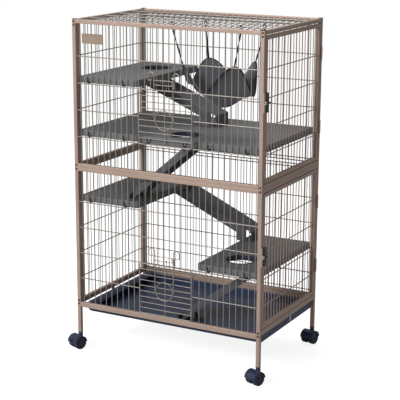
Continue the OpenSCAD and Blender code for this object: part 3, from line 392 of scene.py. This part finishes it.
for node in ("shelf_upper_left", "deck_left", "deck_middle", "deck_right",
             "shelf_lower_left", "shelf_lower_right"):
    low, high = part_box(node)
    shape = solid_of(node)
    ease_rim(shape, radius=0.007, flattest=1.01, steepest=0.999)
    if node in shelf_holes:
        hole_rim(shape, high[2], *shelf_holes[node])
    paint_hook_shade(shape, low, high)
    moulded(node, shape, "cage", (shelf_plastic, rim_painted_shade, black_moulding_and_painted_shade), 0.0010)

# ---- Ramps
# Long trays of a bluer grey plastic turned upside down, coloured darker than the shelves as painted shade.
# The head hangs on the shelf above, and the rounded toe stands on what is below.
ramp_plastic_painted_shade = coated(
    "blue grey ramp plastic darkened as painted shade", (0.082, 0.083, 0.098), (0.100, 0.101, 0.117), roughness=0.48,
    scales=(1100, 7, 380), bump=0.45, depth=0.0003, speck=(0.14, 0.14, 0.155))
# The two ramps with long toes: where the ramp ends, what it stands on, its toe's height, its slope, and the
# middle of its width.
long_toes = {
    "ramp_upper": (0.058, 0.873, 0.046, 0.418, 0.09),
    "ramp_long": (0.172, 0.4156, 0.038, 0.448, 0.1765)}
toe_r = 0.050
toe_flat_half = 0.0075
toe_wall = 0.003
toe_flange = 0.033
cheek_from = 0.0600
cheek_l = 0.0305


def toe_cheek(shape, side, end, ground, toe, slope, middle):
    """Carries the toe's side wall down to the floor, under the flange and behind the round end."""
    cheek = bmesh.new()
    bmesh.ops.create_cube(cheek, size=1)
    lengthwise = [edge for edge in cheek.edges if abs(edge.verts[0].co.x - edge.verts[1].co.x) > 0.5]
    bmesh.ops.subdivide_edges(cheek, edges=lengthwise, cuts=9, use_grid_fill=True)
    for vert in cheek.verts:
        x = end - cheek_from + cheek_l * (vert.co.x + 0.5)
        past = max(x - (end - toe_r), 0)
        out = toe_flat_half + math.sqrt(toe_r ** 2 - past ** 2) - toe_wall * (0.5 - vert.co.y)
        top = toe + slope * (end - x) - toe_flange
        vert.co = (x, middle + side * out, ground + top * (vert.co.z + 0.5))
    bmesh.ops.recalc_face_normals(cheek, faces=cheek.faces)
    cheek_data = bpy.data.meshes.new("toe_cheek")
    cheek.to_mesh(cheek_data)
    cheek.free()
    shape.from_mesh(cheek_data)
    bpy.data.meshes.remove(cheek_data)


for node in ("ramp_upper", "ramp_deck", "ramp_long", "ramp_lower"):
    shape = solid_of(node)
    ease_rim(shape, radius=0.0045, flattest=0.995, steepest=0.5)
    if node in long_toes:
        toe_cheek(shape, -1, *long_toes[node])
        toe_cheek(shape, 1, *long_toes[node])
    moulded(node, shape, "cage", (ramp_plastic_painted_shade,), 0.0010)

# ---- Hammock
# One sheet of thick charcoal fleece, cut square with its corners rounded and bound all round with black
# piping. Its four corners are pulled up by the straps, the edges sag between them, and folds run in from
# the corners.
fleece = coated(
    "charcoal fleece", (0.066, 0.069, 0.082), (0.088, 0.091, 0.105), roughness=0.85,
    scales=(650, 11, 300), bump=0.9, depth=0.0009, sheen=0.4)
black_web = coated(
    "black webbing", (0.012, 0.012, 0.016), (0.022, 0.022, 0.027), roughness=0.7,
    scales=(900, 30, 300), bump=0.6, depth=0.0004)
# In millimetres, as in the part's source, with heights over the bottom rail. The corners are those of the
# front left, front right, rear right and rear left.
cage_base = 169
hammock_corners = [Vector(c) for c in ((8, -140, 960), (234, -158, 971), (262, -38, 979), (58, -32, 978))]
hammock_width = (hammock_corners[1] - hammock_corners[0]).length
hammock_depth = (hammock_corners[3] - hammock_corners[0]).length
edges_out = {"left": 16, "right": 32, "front": 23, "rear": 18}
edges_sag = {"left": 80, "right": 114, "front": 94, "rear": 80}
corner_cut = 0.045
pouch_lift = 25
pouch_wave = 4
fold_height = 1.7
fold_reach = 35


def mix(a, b, t):
    return a * (1 - t) + b * t


def hump(t):
    return math.sin(math.pi * t) ** 2


def flat_cloth(u, v):
    a, b, c, d = hammock_corners
    return mix(mix(a, b, u), mix(d, c, u), v)


def hang(u, v):
    """Where the cloth's point u across and v back hangs, in metres."""
    across, back = 2 * u - 1, 2 * v - 1
    far = max(abs(across), abs(back), 1e-6)
    cut = 1 - corner_cut * (min(abs(across), abs(back)) / far) ** 6
    u, v = (1 + across * cut) / 2, (1 + back * cut) / 2
    out_x = mix(-edges_out["left"], edges_out["right"], u) / hammock_width * math.sin(math.pi * v)
    out_y = mix(-edges_out["front"], edges_out["rear"], v) / hammock_depth * math.sin(math.pi * u)
    point = flat_cloth(u + out_x, v + out_y)
    drop_x = mix(edges_sag["front"] * hump(u ** 0.92), edges_sag["rear"] * hump(u ** 1.15), v)
    drop_y = mix(edges_sag["left"] * hump(v ** 0.85), edges_sag["right"] * hump(v ** 1.1), u)
    pouch = (pouch_lift - pouch_wave * math.cos(4 * math.pi * v)) * hump(u) * hump(v)
    folds = 0
    for corner_u, corner_v in ((0, 0), (1, 0), (1, 1), (0, 1)):
        du, dv = (u - corner_u) * hammock_width, (v - corner_v) * hammock_depth
        away = math.hypot(du, dv) / fold_reach
        turn = math.atan2(abs(dv), abs(du) + 1e-6)
        folds += fold_height * math.sin(8 * turn + corner_u) * away ** 2 / (1 + away ** 4)
    height = cage_base + flat_cloth(u, v).z - drop_x - drop_y + pouch + folds
    return Vector((point.x, point.y, height)) / 1000


cloth = bmesh.new()
bmesh.ops.create_grid(cloth, x_segments=90, y_segments=80, size=0.5)
for vert in cloth.verts:
    vert.co = hang(min(max(vert.co.x + 0.5, 0), 1), min(max(vert.co.y + 0.5, 0), 1))
bmesh.ops.recalc_face_normals(cloth, faces=cloth.faces)
cloth_data = bpy.data.meshes.new("hammock_fleece")
cloth.to_mesh(cloth_data)
cloth.free()
for face in cloth_data.polygons:
    face.use_smooth = True
cloth_data.materials.append(fleece)
hammock = bpy.data.objects.new("hammock_fleece", cloth_data)
bpy.context.scene.collection.objects.link(hammock)
body = hammock.modifiers.new("fleece thickness", "SOLIDIFY")
body.thickness = 0.003
body.offset = 0

# The piping runs round the cloth's edge, front, right, rear and left.
piping_r = 0.0033
edge_steps = 60
edge_walk = [(t / edge_steps, 0) for t in range(edge_steps)]
edge_walk += [(1, t / edge_steps) for t in range(edge_steps)]
edge_walk += [(1 - t / edge_steps, 1) for t in range(edge_steps)]
edge_walk += [(0, 1 - t / edge_steps) for t in range(edge_steps)]
line = bpy.data.curves.new("piping_line", "CURVE")
line.dimensions = "3D"
line.bevel_depth = piping_r
line.bevel_resolution = 3
run = line.splines.new("POLY")
run.points.add(len(edge_walk) - 1)
for point, (u, v) in zip(run.points, edge_walk):
    point.co = (*hang(u, v), 1)
run.use_cyclic_u = True
drawn = bpy.data.objects.new("piping_line", line)
piping_data = bpy.data.meshes.new_from_object(drawn)
bpy.data.objects.remove(drawn)
piping_data.materials.clear()
piping_data.materials.append(black_web)
for face in piping_data.polygons:
    face.use_smooth = True
piping = bpy.data.objects.new("hammock_piping", piping_data)
bpy.context.scene.collection.objects.link(piping)

# ---- Hammock straps and clips
# Flat black webbing, looped round the wire clip at the top and sewn to the hammock's corner. Three of the
# straps have twisted on the way down, and the rear left one hangs flat. The clips are bent from wire.
clip_top = 1279.35
clip_r = 9
clip_places = ((-25.4, -152.4), (254, -152.4), (298, -50.8), (58, -50.8))
strap_twists = (2.25, 2.75, 1.75, 0.25)
strap_widths = (6.0, 6.0, 6.0, 8.4)
strap_t = 0.0019
strap_under_clip = 0.0035
strap_over_cloth = 0.0012
strap_loop_in = 0.0022
strap_loop_out = 0.0038


def strap_loop(strip, ring, width):
    """The strap's end, turned once round the clip's wire."""
    half = width / 2000
    loop = [strip.verts.new(ring + Vector((out, side, 0))) for out, side in
            ((strap_loop_in, -half), (strap_loop_out, -half), (strap_loop_out, half), (strap_loop_in, half))]
    sides = [strip.edges.new((loop[i], loop[(i + 1) % 4])) for i in range(4)]
    bmesh.ops.spin(strip, geom=loop + sides, cent=ring, axis=(0, 1, 0), angle=math.tau, steps=20,
                   use_merge=True)


def strap(ring, corner, twists, width):
    """A strip of webbing from under the clip's ring to the cloth's corner."""
    foot = corner + Vector((0, 0, strap_over_cloth))
    head = ring - Vector((0, 0, strap_under_clip))
    down = (foot - head).normalized()
    flat_way = (Vector((0, 1, 0)) - down * down.y).normalized()
    thick_way = down.cross(flat_way)
    strip = bmesh.new()
    bmesh.ops.create_cube(strip, size=1)
    lengthwise = [edge for edge in strip.edges if abs(edge.verts[0].co.z - edge.verts[1].co.z) > 0.5]
    bmesh.ops.subdivide_edges(strip, edges=lengthwise, cuts=60, use_grid_fill=True)
    for vert in strip.verts:
        t = 0.5 - vert.co.z
        turn = math.pi * twists * t
        along = flat_way * math.cos(turn) + thick_way * math.sin(turn)
        through = down.cross(along)
        vert.co = head.lerp(foot, t) + along * vert.co.x * width / 1000 + through * vert.co.y * strap_t
    strap_loop(strip, ring, width)
    return strip


webbing = bmesh.new()
cloth_corners = ((0, 0), (1, 0), (1, 1), (0, 1))
for (x, y), twists, width, (u, v) in zip(clip_places, strap_twists, strap_widths, cloth_corners):
    strip = strap(Vector((x, y, clip_top - clip_r)) / 1000, hang(u, v), twists, width)
    strip_data = bpy.data.meshes.new("strap")
    strip.to_mesh(strip_data)
    strip.free()
    webbing.from_mesh(strip_data)
    bpy.data.meshes.remove(strip_data)
bmesh.ops.recalc_face_normals(webbing, faces=webbing.faces)
webbing_data = bpy.data.meshes.new("hammock_webbing")
webbing.to_mesh(webbing_data)
webbing.free()
for face in webbing_data.polygons:
    face.use_smooth = True
webbing_data.set_sharp_from_angle(angle=math.radians(40))
webbing_data.materials.append(black_web)
straps = bpy.data.objects.new("hammock_webbing", webbing_data)
bpy.context.scene.collection.objects.link(straps)
paint(black_moulding_and_painted_shade, "hammock_clips")

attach(hammock, "cage")
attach(piping, "cage")
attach(straps, "cage")
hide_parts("hammock")
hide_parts("hammock_straps")

# ---- Tray
# A deep navy plastic tray, pressed from one smooth sheet. It slides out to the right on two steel runners,
# which have the frame's coat.
tray_plastic = coated(
    "navy tray plastic", (0.023, 0.038, 0.090), (0.031, 0.049, 0.108), roughness=0.32,
    scales=(700, 5, 300), bump=0.15)
moulded("bottom_tray", solid_of("bottom_tray"), "tray", (tray_plastic,), 0.0009)

# ---- Casters
# Twin plastic wheels under a hood, all of one navy-black plastic, and a black brake lever on the front
# left one.
caster_plastic = coated(
    "navy caster plastic", (0.022, 0.029, 0.066), (0.031, 0.039, 0.082), roughness=0.36,
    scales=(1300, 20, 400), bump=0.2)
for corner in ("front_left", "front_right", "rear_left", "rear_right"):
    for node, body in (("caster_fork_", "fork_"), ("caster_wheels_", "wheels_")):
        shape = solid_of(node + corner)
        moulded(node + corner, shape, body + corner, (caster_plastic,), 0.0006, 2)
paint(black_moulding_and_painted_shade, "brake_lever")
